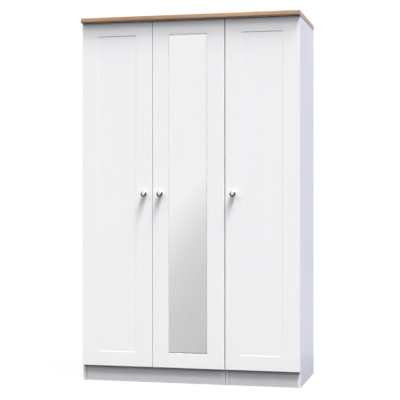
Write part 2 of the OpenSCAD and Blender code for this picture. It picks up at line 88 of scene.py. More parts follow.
class Value:
    """A socket in a tree. Arithmetic on it adds Math nodes."""

    def __init__(self, tree, socket):
        self.tree, self.socket = tree, socket

    def math(self, operation, *terms):
        return self.tree.node("ShaderNodeMath", {"operation": operation}, dict(enumerate(terms)))[0]

    def __add__(self, other):
        return self.math("ADD", self, other)

    def __radd__(self, other):
        return self.math("ADD", other, self)

    def __sub__(self, other):
        return self.math("SUBTRACT", self, other)

    def __rsub__(self, other):
        return self.math("SUBTRACT", other, self)

    def __mul__(self, other):
        return self.math("MULTIPLY", self, other)

    def __rmul__(self, other):
        return self.math("MULTIPLY", other, self)

    def __pow__(self, other):
        return self.math("POWER", self, other)

    def __abs__(self):
        return self.math("ABSOLUTE", self)

    def __neg__(self):
        return self.math("MULTIPLY", self, -1.0)

    def __gt__(self, other):
        return self.math("GREATER_THAN", self, other)

    def __lt__(self, other):
        return self.math("LESS_THAN", self, other)

    def at_most(self, other):
        return self.math("MINIMUM", self, other)

    def at_least(self, other):
        return self.math("MAXIMUM", self, other)


class Outputs:
    """The sockets that come out of a node, by name or by number."""

    def __init__(self, tree, node):
        self.tree, self.made = tree, node

    def __getitem__(self, key):
        return Value(self.tree, self.made.outputs[key])


class Tree:
    """A node tree. node() adds any node: its settings first, then its sockets' values or links."""

    def __init__(self, nodes):
        self.nodes = nodes

    def node(self, kind, settings=None, sockets=None):
        made = self.nodes.nodes.new(kind)
        for name, value in (settings or {}).items():
            if name == "stops":
                while len(made.color_ramp.elements) < len(value):
                    made.color_ramp.elements.new(0.5)
                for element, (place, shade) in zip(made.color_ramp.elements, value):
                    element.position = place
                    element.color = (*shade, 1)
            else:
                setattr(made, name, value)
        for key, value in (sockets or {}).items():
            for one in value if isinstance(value, list) else [value]:
                if isinstance(one, Value):
                    self.nodes.links.new(one.socket, made.inputs[key])
                else:
                    made.inputs[key].default_value = one
        return Outputs(self, made)

    # Textures and colour

    def spot(self):
        return self.node("ShaderNodeTexCoord")["Object"]

    def stretch(self, vector, scale):
        return self.node("ShaderNodeMapping", None, {"Vector": vector, "Scale": scale})[0]

    def noise(self, vector, scale=1.0, detail=3.0, roughness=0.5):
        return self.node("ShaderNodeTexNoise", None, {
            "Vector": vector, "Scale": scale, "Detail": detail, "Roughness": roughness})[0]

    def split(self, vector):
        made = self.node("ShaderNodeSeparateXYZ", None, {0: vector})
        return made[0], made[1], made[2]

    def smooth(self, value, low, high, to_low=0.0, to_high=1.0):
        return self.node("ShaderNodeMapRange", {"interpolation_type": "SMOOTHSTEP"}, {
            "Value": value, "From Min": low, "From Max": high, "To Min": to_low, "To Max": to_high})[0]

    def blend(self, factor, a, b):
        return self.node("ShaderNodeMix", {"data_type": "RGBA"}, {
            0: factor, 6: colour(a), 7: colour(b)})[2]

    def steps(self, value, stops):
        return self.node("ShaderNodeValToRGB", {"stops": stops}, {0: value})[0]

    def facing(self):
        return self.split(self.node("ShaderNodeNewGeometry")["Normal"])

    def rounded(self, radius):
        return self.node("ShaderNodeBevel", {"samples": 4}, {"Radius": radius})[0]

    def edges(self, radius):
        """1 along sharp edges, 0 on open faces."""
        surface = self.node("ShaderNodeNewGeometry")["Normal"]
        closeness = self.node("ShaderNodeVectorMath", {"operation": "DOT_PRODUCT"},
                              {0: self.rounded(radius), 1: surface})["Value"]
        return self.smooth(1 - closeness, 0.01, 0.25)

    def bump(self, height, distance, normal=None, strength=1.0):
        sockets = {"Height": height, "Distance": distance, "Strength": strength}
        if normal is not None:
            sockets["Normal"] = normal
        return self.node("ShaderNodeBump", None, sockets)[0]


def colour(value):
    """A link stays as it is, and three numbers get an alpha."""
    return value if isinstance(value, Value) or len(value) == 4 else (*value, 1)


class Finish(Tree):
    """A material. surface() closes it with a Principled shader."""

    def __init__(self, name):
        self.material = bpy.data.materials.new(name)
        self.material.use_nodes = True
        self.material.node_tree.nodes.clear()
        super().__init__(self.material.node_tree)

    def surface(self, base, roughness, normal=None, **fixed):
        sockets = {"Base Color": colour(base), "Roughness": roughness}
        if normal is not None:
            sockets["Normal"] = normal
        for name, value in fixed.items():
            sockets[name.replace("_", " ")] = value
        shader = self.node("ShaderNodeBsdfPrincipled", None, sockets)[0]
        self.node("ShaderNodeOutputMaterial", None, {"Surface": shader})
        return self.material


# ---- Light and floor ----

WALL_WHITE = (1.05, 1.05, 1.05)

# What the mirror sees, from a dim lower right to a bright upper left
MIRROR_FALL_RIGHT = 1.07
MIRROR_FALL_DEEP = 0.2687
MIRROR_RANGE = (-1.0, 0.2)
MIRROR_TONES = [
    (0.0, (0.03, 0.03, 0.035)), (0.52, (0.06, 0.06, 0.065)), (0.71, (0.60, 0.60, 0.61)),
    (0.755, (0.64, 0.64, 0.65)), (0.79, (0.71, 0.71, 0.715)), (0.822, (0.86, 0.86, 0.865)),
    (0.836, (0.92, 0.92, 0.925))]
MIRROR_PATCH_LEFT = 0.24
MIRROR_PATCH_NARROW = 4.0
MIRROR_PATCH_EDGE = (0.17, 0.28)

# What round metal sees: a bright ceiling and front, dim sides and floor
FRONT_LEFT = 0.15
CEILING_REACH = 0.45
FRONT_EDGE = (0.38, 0.62)
BRIGHT_FRONT = (1.25, 1.25, 1.25)
DIM_SIDES = (0.11, 0.105, 0.10)

# The light that the walls and ceiling give to matt surfaces, a little cool from the right
LOW_LIGHT = (0.10, 0.10, 0.10)
LOW_LIGHT_RIGHT = (0.10, 0.105, 0.13)
HIGH_LIGHT = (1.64, 1.63, 1.575)
HIGH_LIGHT_LEFT = (3.12, 3.10, 3.0)
HIGH_LIGHT_RIGHT = (0.40, 0.50, 1.00)
RIGHT_EDGE = (-0.1, 0.6)
LEFT_EDGE = (0.2, 0.9)
HORIZON_EDGE = (0.12, 0.48)

# Name, strength, spread in degrees, and where each one shines from
SUNS = (
    ("high", 2.2, 14, (1.75, -1.0, 7.0)),
    ("overhead", 3.1, 14, (1.4, -1.0, 4.4)),
    ("front", 1.4, 12, (0.6, -1.0, 1.9)),
)
SUN_COLOUR = (1.0, 0.99, 0.98)

FLOOR_RADIUS = 1.35
FLOOR_FADE = (0.95, 1.3)
FLOOR_DROP = 0.0005
FLOOR_GLOW = 0.95
FLOOR_DEEP = (0.020, 0.020, 0.020)
FLOOR_PALE = (0.026, 0.026, 0.026)
FLOOR_RIGHT = (0.065, 0.065, 0.070)
FLOOR_RIGHT_EDGE = (0.6, 0.8)


def make_world():
    """A white surround for the camera, one picture for polished surfaces, and another light for matt ones."""
    world = bpy.data.worlds.new("studio")
    world.use_nodes = True
    world.node_tree.nodes.clear()
    tree = Tree(world.node_tree)
    direction = tree.node("ShaderNodeTexCoord")["Generated"]
    x, y, z = tree.split(direction)
    height = z - MIRROR_FALL_RIGHT * x - MIRROR_FALL_DEEP * abs(y)
    seen = tree.steps(tree.node("ShaderNodeMapRange", None, {
        "Value": height, "From Min": MIRROR_RANGE[0], "From Max": MIRROR_RANGE[1]})[0], MIRROR_TONES)
    drop = z.at_most(0.0)
    rise = z.at_least(0.0)
    off_front = x + FRONT_LEFT
    aside = (off_front * off_front + drop * drop) ** 0.5 - rise * CEILING_REACH
    around = tree.blend(tree.smooth(aside, *FRONT_EDGE), BRIGHT_FRONT, DIM_SIDES)
    off_patch = x + MIRROR_PATCH_LEFT
    apart = (off_patch * off_patch * MIRROR_PATCH_NARROW + z * z) ** 0.5
    seen = tree.blend(tree.smooth(apart, *MIRROR_PATCH_EDGE), seen, around)
    rightward = tree.smooth(x, *RIGHT_EDGE)
    low = tree.blend(rightward, LOW_LIGHT, LOW_LIGHT_RIGHT)
    high = tree.blend(tree.smooth(-x, *LEFT_EDGE), HIGH_LIGHT, HIGH_LIGHT_LEFT)
    high = tree.blend(rightward, high, HIGH_LIGHT_RIGHT)
    given = tree.blend(tree.smooth(z, *HORIZON_EDGE), low, high)
    rays = tree.node("ShaderNodeLightPath")
    lit = tree.blend(rays["Is Glossy Ray"], given, seen)
    shade = tree.blend(rays["Is Camera Ray"], lit, WALL_WHITE)
    background = tree.node("ShaderNodeBackground", None, {"Color": shade, "Strength": 1.0})[0]
    tree.node("ShaderNodeOutputWorld", None, {"Surface": background})
    bpy.context.scene.world = world


def aim(obj, target):
    obj.rotation_euler = (Vector(target) - obj.location).to_track_quat("-Z", "Y").to_euler()


def make_lights():
    for name, energy, spread, spot in SUNS:
        lamp = bpy.data.lights.new(name, "SUN")
        lamp.energy = energy
        lamp.angle = math.radians(spread)
        lamp.color = SUN_COLOUR
        holder = add_object(name, lamp)
        holder.location = spot
        aim(holder, (0, 0, 0))


def make_floor():
    """A pale round floor that fades out before its rim."""
    mesh = bpy.data.meshes.new("floor")
    shape = bmesh.new()
    bmesh.ops.create_circle(shape, cap_ends=True, segments=96, radius=FLOOR_RADIUS)
    shape.to_mesh(mesh)
    shape.free()
    floor = add_object("floor", mesh)
    finish = Finish("pale_floor")
    x, y, _ = finish.split(finish.spot())
    reach = (x * x + y * y) ** 0.5
    grain = finish.noise(finish.spot(), 90, 4)
    pale = finish.blend(grain, FLOOR_DEEP, FLOOR_PALE)
    pale = finish.blend(finish.smooth(x, *FLOOR_RIGHT_EDGE), pale, FLOOR_RIGHT)
    shader = finish.node("ShaderNodeBsdfDiffuse", None, {
        "Color": pale, "Normal": finish.bump(grain, 0.0005)})[0]
    seen = finish.node("ShaderNodeLightPath")["Is Camera Ray"]
    glow = finish.node("ShaderNodeEmission", None, {
        "Color": (1, 1, 1, 1), "Strength": seen * FLOOR_GLOW})[0]
    lit = finish.node("ShaderNodeAddShader", None, {0: shader, 1: glow})[0]
    clear = finish.node("ShaderNodeBsdfTransparent")[0]
    mixed = finish.node("ShaderNodeMixShader", None, {
        0: finish.smooth(reach, *FLOOR_FADE), 1: lit, 2: clear})[0]
    finish.node("ShaderNodeOutputMaterial", None, {"Surface": mixed})
    mesh.materials.append(finish.material)
    floor.location.z = -FLOOR_DROP


make_world()
make_lights()
make_floor()


# ---- Finishes ----

FOIL_PALE = (0.848, 0.845, 0.829)
FOIL_DEEP = (0.830, 0.828, 0.812)
FOIL_PORE = (0.72, 0.722, 0.72)
FOIL_WORN = (0.70, 0.69, 0.66)
MELAMINE_PALE = (0.81, 0.806, 0.795)
MELAMINE_DEEP = (0.775, 0.772, 0.762)
MELAMINE_WORN = (0.62, 0.60, 0.56)
CHIP_DEEP = (0.47, 0.33, 0.19)
CHIP_PALE = (0.70, 0.55, 0.37)
CHIP_EDGE = (0.36, 0.25, 0.15)
FIBRE_DEEP = (0.20, 0.115, 0.06)
FIBRE_PALE = (0.36, 0.23, 0.13)
FIBRE_CLOUD = (0.27, 0.165, 0.09)
LACQUER_PALE = (0.80, 0.805, 0.82)
LACQUER_DEEP = (0.76, 0.765, 0.78)
OAK_TONES = [
    (0.2, (0.36, 0.205, 0.108)), (0.45, (0.455, 0.278, 0.155)), (0.62, (0.50, 0.315, 0.182)),
    (0.85, (0.58, 0.385, 0.235))]
OAK_PORE = (0.22, 0.125, 0.065)
OAK_RAY = (0.60, 0.44, 0.30)
OAK_END = (0.60, 0.43, 0.33)
OAK_WORN = (0.62, 0.47, 0.34)
# A paler backing on the underside, made pale enough to be partly painted light: it brightens the underside
# and lower rounding as light from below would.
OAK_BACKING_AND_PAINTED_LIGHT = (0.74, 0.60, 0.48)
# Painted shade: the share of its colour that the oak's top face keeps, which darkens it against the strong
# light from above.
OAK_TOP_PAINTED_SHADE = (0.44, 0.50, 0.58)
SILVER_BRIGHT = (0.948, 0.948, 0.950)
SILVER_FILM = (0.928, 0.928, 0.932)
GROUND_DEEP = (0.24, 0.33, 0.30)
GROUND_PALE = (0.36, 0.45, 0.42)
PLASTIC_PALE = (0.74, 0.77, 0.78)
PLASTIC_DEEP = (0.62, 0.65, 0.66)
FOAM_DEEP = (0.035, 0.035, 0.037)
FOAM_PALE = (0.075, 0.075, 0.078)
CORE_DEEP = (0.42, 0.28, 0.16)
CORE_PALE = (0.58, 0.42, 0.26)
BEECH_DEEP = (0.52, 0.35, 0.20)
BEECH_PALE = (0.70, 0.52, 0.34)


def door_foil():
    """White foil pressed with a faint upright grain."""
    f = Finish("door_foil")
    spot = f.spot()
    wander = f.noise(f.stretch(spot, (5, 5, 0.9)), 1, 2)
    warped = f.node("ShaderNodeVectorMath", {"operation": "ADD"}, {
        0: spot, 1: f.node("ShaderNodeCombineXYZ", None, {0: wander * 0.03})[0]})[0]
    bands = f.noise(f.stretch(warped, (60, 60, 1.2)), 1, 4, 0.6)
    pores = f.smooth(f.noise(f.stretch(warped, (620, 620, 22)), 1, 2), 0.56, 0.72)
    grain = f.smooth(bands, 0.3, 0.7) * 0.6 + pores * -0.8
    worn = f.edges(0.0016) * f.smooth(f.noise(spot, 45, 4), 0.35, 0.75)
    mottle = f.smooth(bands, 0.35, 0.65) * 0.5 + f.noise(spot, 3, 2) * 0.3
    base = f.blend(mottle, FOIL_PALE, FOIL_DEEP)
    base = f.blend(pores * 0.15, base, FOIL_PORE)
    base = f.blend(worn * 0.25, base, FOIL_WORN)
    rough = 0.44 + f.noise(spot, 12, 3) * 0.08 + pores * 0.12 - worn * 0.08
    normal = f.bump(grain, 0.00004, f.rounded(0.001), 0.5)
    return f.surface(base, rough, normal, Specular_IOR_Level=0.4)


def board(name, cut_x, cut_y, cut_z):
    """White melamine over chipboard. Cut faces across the named axes show the raw core."""
    f = Finish(name)
    spot = f.spot()
    nx, ny, nz = f.facing()
    raw = (abs(nx) > 0.9) * cut_x + (ny > 0.9) * cut_y + (abs(nz) > 0.9) * cut_z
    orange_peel = f.noise(spot, 900, 3)
    clouds = f.noise(spot, 4, 3)
    worn = f.edges(0.0012) * f.smooth(f.noise(spot, 60, 4), 0.4, 0.75)
    white = f.blend(clouds, MELAMINE_PALE, MELAMINE_DEEP)
    white = f.blend(worn * 0.3, white, MELAMINE_WORN)
    chips = f.node("ShaderNodeTexVoronoi", None, {"Vector": f.stretch(spot, (210, 330, 330)), "Scale": 1.0})
    core = f.blend(f.noise(spot, 240, 4), CHIP_DEEP, CHIP_PALE)
    core = f.blend(f.smooth(chips["Distance"], 0.1, 0.6), core, CHIP_EDGE)
    base = f.blend(raw, white, core)
    rough = f.smooth(clouds, 0.2, 0.8, 0.40, 0.48) + raw * 0.4
    height = orange_peel * 0.25 + raw * chips["Distance"] * 2
    return f.surface(base, rough, f.bump(height, 0.0001, f.rounded(0.0006), 0.5), Specular_IOR_Level=0.4)


def hardboard():
    """White lacquer on the room side, raw brown fibre on the wall side."""
    f = Finish("hardboard")
    spot = f.spot()
    raw = 1 - (f.facing()[1] < -0.5)
    fibre = f.noise(f.stretch(spot, (420, 420, 160)), 1, 5, 0.7)
    brown = f.blend(fibre, FIBRE_DEEP, FIBRE_PALE)
    brown = f.blend(f.smooth(f.noise(spot, 5, 3), 0.4, 0.7) * 0.5, brown, FIBRE_CLOUD)
    white = f.blend(f.noise(spot, 6, 3), LACQUER_PALE, LACQUER_DEEP)
    mesh_marks = f.noise(f.stretch(spot, (700, 700, 700)), 1, 2)
    base = f.blend(raw, white, brown)
    rough = 0.5 + raw * 0.3 + fibre * 0.08
    return f.surface(base, rough, f.bump(fibre * raw + mesh_marks * 0.3, 0.0002, None, 0.5))


def oak():
    """Oak-effect laminate, its grain along X: banded ends, a paler backing below that is partly painted light
    from below, and painted shade on the top face against the strong light from above.
    """
    f = Finish("oak_laminate")
    spot = f.spot()
    nx, _, nz = f.facing()
    wander = f.noise(f.stretch(spot, (1.3, 5, 5)), 1, 3)
    lift = f.node("ShaderNodeCombineXYZ", None, {1: wander * 0.05, 2: wander * 0.02})[0]
    warped = f.node("ShaderNodeVectorMath", {"operation": "ADD"}, {0: spot, 1: lift})[0]
    rings = f.noise(f.stretch(warped, (1.6, 34, 52)), 1, 4, 0.55)
    streaks = f.noise(f.stretch(warped, (9, 260, 300)), 1, 4, 0.6)
    pores = f.smooth(f.noise(f.stretch(warped, (45, 1500, 1500)), 1, 2), 0.58, 0.72)
    rays = f.smooth(f.noise(f.stretch(spot, (60, 18, 500)), 1, 2), 0.62, 0.78)
    base = f.steps(f.smooth(rings, 0.28, 0.72) * 0.62 + streaks * 0.38, OAK_TONES)
    base = f.blend(pores * 0.55, base, OAK_PORE)
    base = f.blend(rays * 0.2, base, OAK_RAY)
    end = abs(nx) > 0.7
    base = f.blend(end * 0.45, base, OAK_END)
    worn = f.edges(0.0014) * f.smooth(f.noise(spot, 50, 4), 0.35, 0.75)
    base = f.blend(worn * 0.3, base, OAK_WORN)
    # The paler backing below, partly painted light that stands in for light from below on the underside and
    # lower rounding.
    base = f.blend(f.smooth(-nz, 0.75, 0.95), base, OAK_BACKING_AND_PAINTED_LIGHT)
    # Painted shade: the top face is darkened against the strong light from above.
    upper = f.node("ShaderNodeVectorMath", {"operation": "MULTIPLY"}, {0: base, 1: OAK_TOP_PAINTED_SHADE})[0]
    base = f.blend(f.smooth(nz, 0.75, 0.95), base, upper)
    rough = 0.42 + pores * 0.2 + streaks * 0.1 - worn * 0.06
    return f.surface(base, rough, f.bump(rings * 0.3 - pores, 0.00016, f.rounded(0.0012), 0.6))


def metal(name, light, dark, rough, brushed=(300, 300, 300), marks=0.0, edge=0.25):
    """Plated or bare metal with fine marks along one direction and brighter edges."""
    f = Finish(name)
    spot = f.spot()
    lines = f.noise(f.stretch(spot, brushed), 1, 4, 0.6)
    patches = f.noise(spot, 28, 4)
    worn = f.edges(0.0008) * f.smooth(f.noise(spot, 160, 3), 0.35, 0.7)
    base = f.blend(f.smooth(patches, 0.35, 0.7) * 0.6 + lines * 0.4, light, dark)
    base = f.blend(worn * edge, base, tuple(min(1, c * 1.2) for c in light))
    roughness = rough + lines * marks + patches * 0.05
    return f.surface(base, roughness, f.bump(lines, 0.00004, f.rounded(0.0003), 0.4), Metallic=1.0)


def mirror_silver():
    """Silvered glass: a polished face with the faintest film on it."""
    f = Finish("mirror_silver")
    spot = f.spot()
    film = f.smooth(f.noise(f.stretch(spot, (9, 9, 5)), 1, 4), 0.5, 0.8)
    base = f.blend(film, SILVER_BRIGHT, SILVER_FILM)
    return f.surface(base, 0.012 + film * 0.02, f.bump(film, 0.000004, None, 0.1), Metallic=1.0)


def mirror_rim():
    """The ground edge of the glass, greenish and matt."""
    f = Finish("mirror_rim")
    spot = f.spot()
    ground = f.noise(spot, 700, 3)
    base = f.blend(ground, GROUND_DEEP, GROUND_PALE)
    return f.surface(base, 0.35 + ground * 0.2, f.bump(ground, 0.00005, None, 0.5))


def soft_plastic():
    """Clear soft plastic, a little cloudy, for the buffers and washers."""
    f = Finish("soft_plastic")
    spot = f.spot()
    cloud = f.noise(spot, 220, 3)
    base = f.blend(cloud, PLASTIC_PALE, PLASTIC_DEEP)
    normal = f.bump(cloud, 0.00005, f.rounded(0.0005), 0.4)
    return f.surface(base, 0.3 + cloud * 0.15, normal, Subsurface_Weight=0.2)


def foam():
    """Dark closed-cell foam, for the tape behind the glass."""
    f = Finish("foam_tape")
    spot = f.spot()
    cells = f.node("ShaderNodeTexVoronoi", None, {"Vector": spot, "Scale": 1300.0})["Distance"]
    base = f.blend(f.smooth(cells, 0.1, 0.6), FOAM_DEEP, FOAM_PALE)
    return f.surface(base, 0.85 + cells * 0.1, f.bump(cells, 0.0002, None, 0.7))


def fibreboard():
    """The bare brown core of a door, seen in its bores."""
    f = Finish("fibreboard")
    spot = f.spot()
    fuzz = f.noise(spot, 900, 4, 0.7)
    base = f.blend(fuzz, CORE_DEEP, CORE_PALE)
    return f.surface(base, 0.8 + fuzz * 0.1, f.bump(fuzz, 0.0002, None, 0.6))


def beech():
    """Bare beech, its grain along the dowel."""
    f = Finish("beech")
    spot = f.spot()
    grain = f.noise(f.stretch(spot, (40, 700, 700)), 1, 4)
    base = f.blend(grain, BEECH_DEEP, BEECH_PALE)
    return f.surface(base, 0.6 + grain * 0.1, f.bump(grain, 0.0001, None, 0.5))


FOIL = door_foil()
UPRIGHT_BOARD = board("upright_board", 0.0, 1.0, 1.0)
LEVEL_BOARD = board("level_board", 1.0, 1.0, 0.0)
CROSS_BOARD = board("cross_board", 1.0, 0.0, 1.0)
DOOR_BACK = board("door_back", 0.0, 0.0, 0.0)
HARDBOARD = hardboard()
OAK = oak()
KNOB_CHROME = metal("knob_chrome", (0.66, 0.65, 0.63), (0.58, 0.57, 0.55), 0.10, (60, 60, 60), 0.03, 0.1)
RAIL_CHROME = metal("rail_chrome", (0.74, 0.74, 0.75), (0.66, 0.66, 0.67), 0.12, (30, 600, 600), 0.05)
NICKEL = metal("nickel_plate", (0.62, 0.60, 0.56), (0.50, 0.48, 0.45), 0.26, (500, 500, 90), 0.10)
ZINC = metal("zinc_casting", (0.52, 0.53, 0.54), (0.40, 0.41, 0.42), 0.42, (300, 300, 300), 0.12)
# The mirror channel's aluminium, toned down so that it gives the dark lines along the glass's top and bottom
# edges: partly painted shade.
ALUMINIUM_WITH_PAINTED_SHADE = metal("satin_aluminium", (0.62, 0.62, 0.63), (0.54, 0.54, 0.55), 0.10, (20, 900, 900), 0.04)
SILVER = mirror_silver()
RIM = mirror_rim()
SOFT = soft_plastic()
FOAM = foam()
BEECH = beech()
CORE = fibreboard()


def dress(material, *names):
    """Gives carried-over CAD nodes their finish."""
    for name in names:
        slots = NODES[name].data.materials
        slots.clear()
        slots.append(material)


BOARDS = {
    UPRIGHT_BOARD: ("left_side_panel", "double_right_side_panel", "single_left_side_panel",
                    "right_side_panel"),
    LEVEL_BOARD: ("double_sub_top", "single_sub_top", "double_base_panel", "single_base_panel",
                  "double_hat_shelf", "single_hat_shelf"),
    CROSS_BOARD: ("double_plinth", "single_plinth", "double_rear_plinth", "single_rear_plinth",
                  "double_wall_rail", "single_wall_rail"),
}
for material, names in BOARDS.items():
    dress(material, *names)
dress(HARDBOARD, "double_back_panel", "single_back_panel")
dress(OAK, "oak_top")
dress(BEECH, "plinth_dowels")
dress(RAIL_CHROME, "double_hanging_rail", "single_hanging_rail", "rail_sockets")
dress(ZINC, "cam_locks")
dress(NICKEL, "rail_socket_screws", "cam_bolts", "connector_sleeves", "connector_bolts", "oak_top_screws",
      "back_panel_pins", "hinge_plate_screws", "hinge_arm_screws")
for side in SIDES:
    dress(NICKEL, f"{side}_hinge_plates", f"{side}_hinge_arms", f"{side}_hinge_cups", f"{side}_cup_screws",
          f"{side}_knob_screw")
    dress(FOIL, f"{side}_door")
    dress(KNOB_CHROME, f"{side}_knob")
    dress(SOFT, f"{side}_door_buffers")
dress(SOFT, "seam_washers")
dress(SILVER, "mirror_glass")
dress(FOAM, "mirror_tape")
dress(ALUMINIUM_WITH_PAINTED_SHADE, "mirror_channel")


# ---- Shapes ----

MM = 0.001
SAME_POINT = 0.001 * MM
SAME_CAD_POINT = 0.002 * MM


def as_object(name, shape, materials, smooth_below=35):
    """Turns a bmesh into a piece: doubles merged, faces outwards, soft below the given angle."""
    bmesh.ops.remove_doubles(shape, verts=shape.verts, dist=SAME_POINT)
    bmesh.ops.recalc_face_normals(shape, faces=shape.faces)
    mesh = bpy.data.meshes.new(name)
    shape.to_mesh(mesh)
    shape.free()
    for material in materials:
        mesh.materials.append(material)
    mesh.shade_smooth()
    mesh.set_sharp_from_angle(angle=math.radians(smooth_below))
    return add_object(name, mesh)


def loft(shape, rings, ends="capped"):
    """Skins rings of equal length. The ends are capped, or the last ring joins the first."""
    loops = [[shape.verts.new(point) for point in ring] for ring in rings]
    pairs = list(zip(loops, loops[1:]))
    if ends == "joined":
        pairs.append((loops[-1], loops[0]))
    else:
        shape.faces.new(loops[0][::-1])
        shape.faces.new(loops[-1])
    for a, b in pairs:
        for i in range(len(a)):
            j = (i + 1) % len(a)
            shape.faces.new((a[i], a[j], b[j], b[i]))


def upright_ring(x, z, y, corner, steps=5):
    """Points round an upright rectangle with rounded corners, in the plane y."""
    points = []
    for cx, cz, start in ((x[1] - corner, z[1] - corner, 0), (x[0] + corner, z[1] - corner, 90),
                          (x[0] + corner, z[0] + corner, 180), (x[1] - corner, z[0] + corner, 270)):
        for step in range(steps + 1):
            turn = math.radians(start + 90 * step / steps)
            points.append((cx + corner * math.cos(turn), y, cz + corner * math.sin(turn)))
    return points


def turned_ring(centre, axis, along, radius, segments):
    """A circle round the given axis through centre, at a distance along it."""
    axis = Vector(axis)
    across = Vector((1, 0, 0)) if abs(axis.x) < 0.5 else Vector((0, 0, 1))
    up = axis.cross(across)
    middle = Vector(centre) + axis * along
    return [middle + across * radius * math.cos(turn) + up * radius * math.sin(turn)
            for turn in (2 * math.pi * k / segments for k in range(segments))]


def turn(shape, outline, centre, axis, segments=64, ends="capped"):
    """A lathe: outline is a list of (radius, distance along the axis)."""
    loft(shape, [turned_ring(centre, axis, along, radius, segments) for radius, along in outline], ends)


def islands(node):
    """The corner points of each separate solid in a CAD node, taken from a merged copy."""
    shape = bmesh.new()
    shape.from_mesh(NODES[node].data)
    bmesh.ops.remove_doubles(shape, verts=shape.verts, dist=SAME_CAD_POINT)
    found, reached = [], set()
    for first in shape.verts:
        if first in reached:
            continue
        reached.add(first)
        group, waiting = [], [first]
        while waiting:
            vert = waiting.pop()
            group.append(tuple(vert.co))
            for edge in vert.link_edges:
                other = edge.other_vert(vert)
                if other not in reached:
                    reached.add(other)
                    waiting.append(other)
        found.append(np.array(group))
    shape.free()
    return found


def evaluated_mesh(obj):
    graph = bpy.context.evaluated_depsgraph_get()
    return bpy.data.meshes.new_from_object(obj.evaluated_get(graph))


def even_shading(piece):
    """Leaves flat faces flat and puts the rounding of the light on the small faces between them."""
    weigh = piece.modifiers.new("even", "WEIGHTED_NORMAL")
    weigh.keep_sharp = True
    mesh = evaluated_mesh(piece)
    piece.modifiers.remove(weigh)
    piece.data = mesh


def combine(piece, tool, operation):
    """Cuts the piece with a tool shape, or keeps what they share, and drops the tool."""
    cut = piece.modifiers.new("cut", "BOOLEAN")
    cut.operation = operation
    cut.solver = "EXACT"
    cut.object = tool
    mesh = evaluated_mesh(piece)
    piece.modifiers.remove(cut)
    piece.data = mesh
    bpy.data.objects.remove(tool)


def swap(piece, body, slot, *nodes):
    """Puts a finished piece on its body in place of CAD nodes."""
    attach(piece, body)
    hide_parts(*nodes)


# ---- Doors, mirror and knobs ----

ARRIS = 2 * MM
STILE = 84 * MM
TOP_RAIL = 68 * MM
BOTTOM_RAIL = 73 * MM
PANEL_DEPTH = 1.75 * MM
LOWER_DEPTH = 0.7 * MM
PANEL_SLOPE = 0.6 * MM
UPPER_SLOPE = 2.2 * MM
LOWER_SLOPE = 0.15 * MM
MIRROR_SHIFT = 3 * MM
MIRROR_SINK = 1.5 * MM
MIRROR_SLOPE = 0.8 * MM
POCKET_DEPTH = 6.5 * MM
CUP_BORE_RADIUS = 17.6 * MM
CUP_BORE_DEPTH = 13.1 * MM
KNOB_HOLE_RADIUS = 2.3 * MM
TOOL_OVERRUN = 1 * MM
DOOR_BACK_EASE = 0.4 * MM
DOOR_CORNER = 0.8 * MM
MOUTH_CORNER = 3 * MM
MIRROR_CORNER = 0.4 * MM
ARRIS_STEPS = 5
# How far across the panel's sloped edge, and how deep there, from its rim to its floor
PANEL_EDGE = ((0.25, 0.3), (0.75, 0.72), (0.95, 0.92), (1.25, 1.0))
GLASS_BACK_EASE = 0.4 * MM
GLASS_FRONT_EASE = 0.7 * MM
GLASS_CORNER = 1 * MM
# The knob's screw bore, foot and neck: radius, distance from the door, in millimetres
KNOB_FOOT = ((0.0, 13.5), (2.05, 13.5), (2.05, 0.0), (8.2, 0.0), (8.5, 0.3), (8.5, 1.1), (8.2, 1.5),
             (7.2, 2.1), (6.4, 3.0), (5.9, 4.2), (5.8, 5.2))
BALL_HALF_DEPTH = 11 * MM
BALL_STEP = 4.2


def ring_of(box, grow, y, corner):
    """A rounded rectangle in the plane y, grown past the given box or drawn in from it."""
    (x0, x1), (z0, z1) = box
    return upright_ring((x0 - grow, x1 + grow), (z0 - grow, z1 + grow), y, corner)


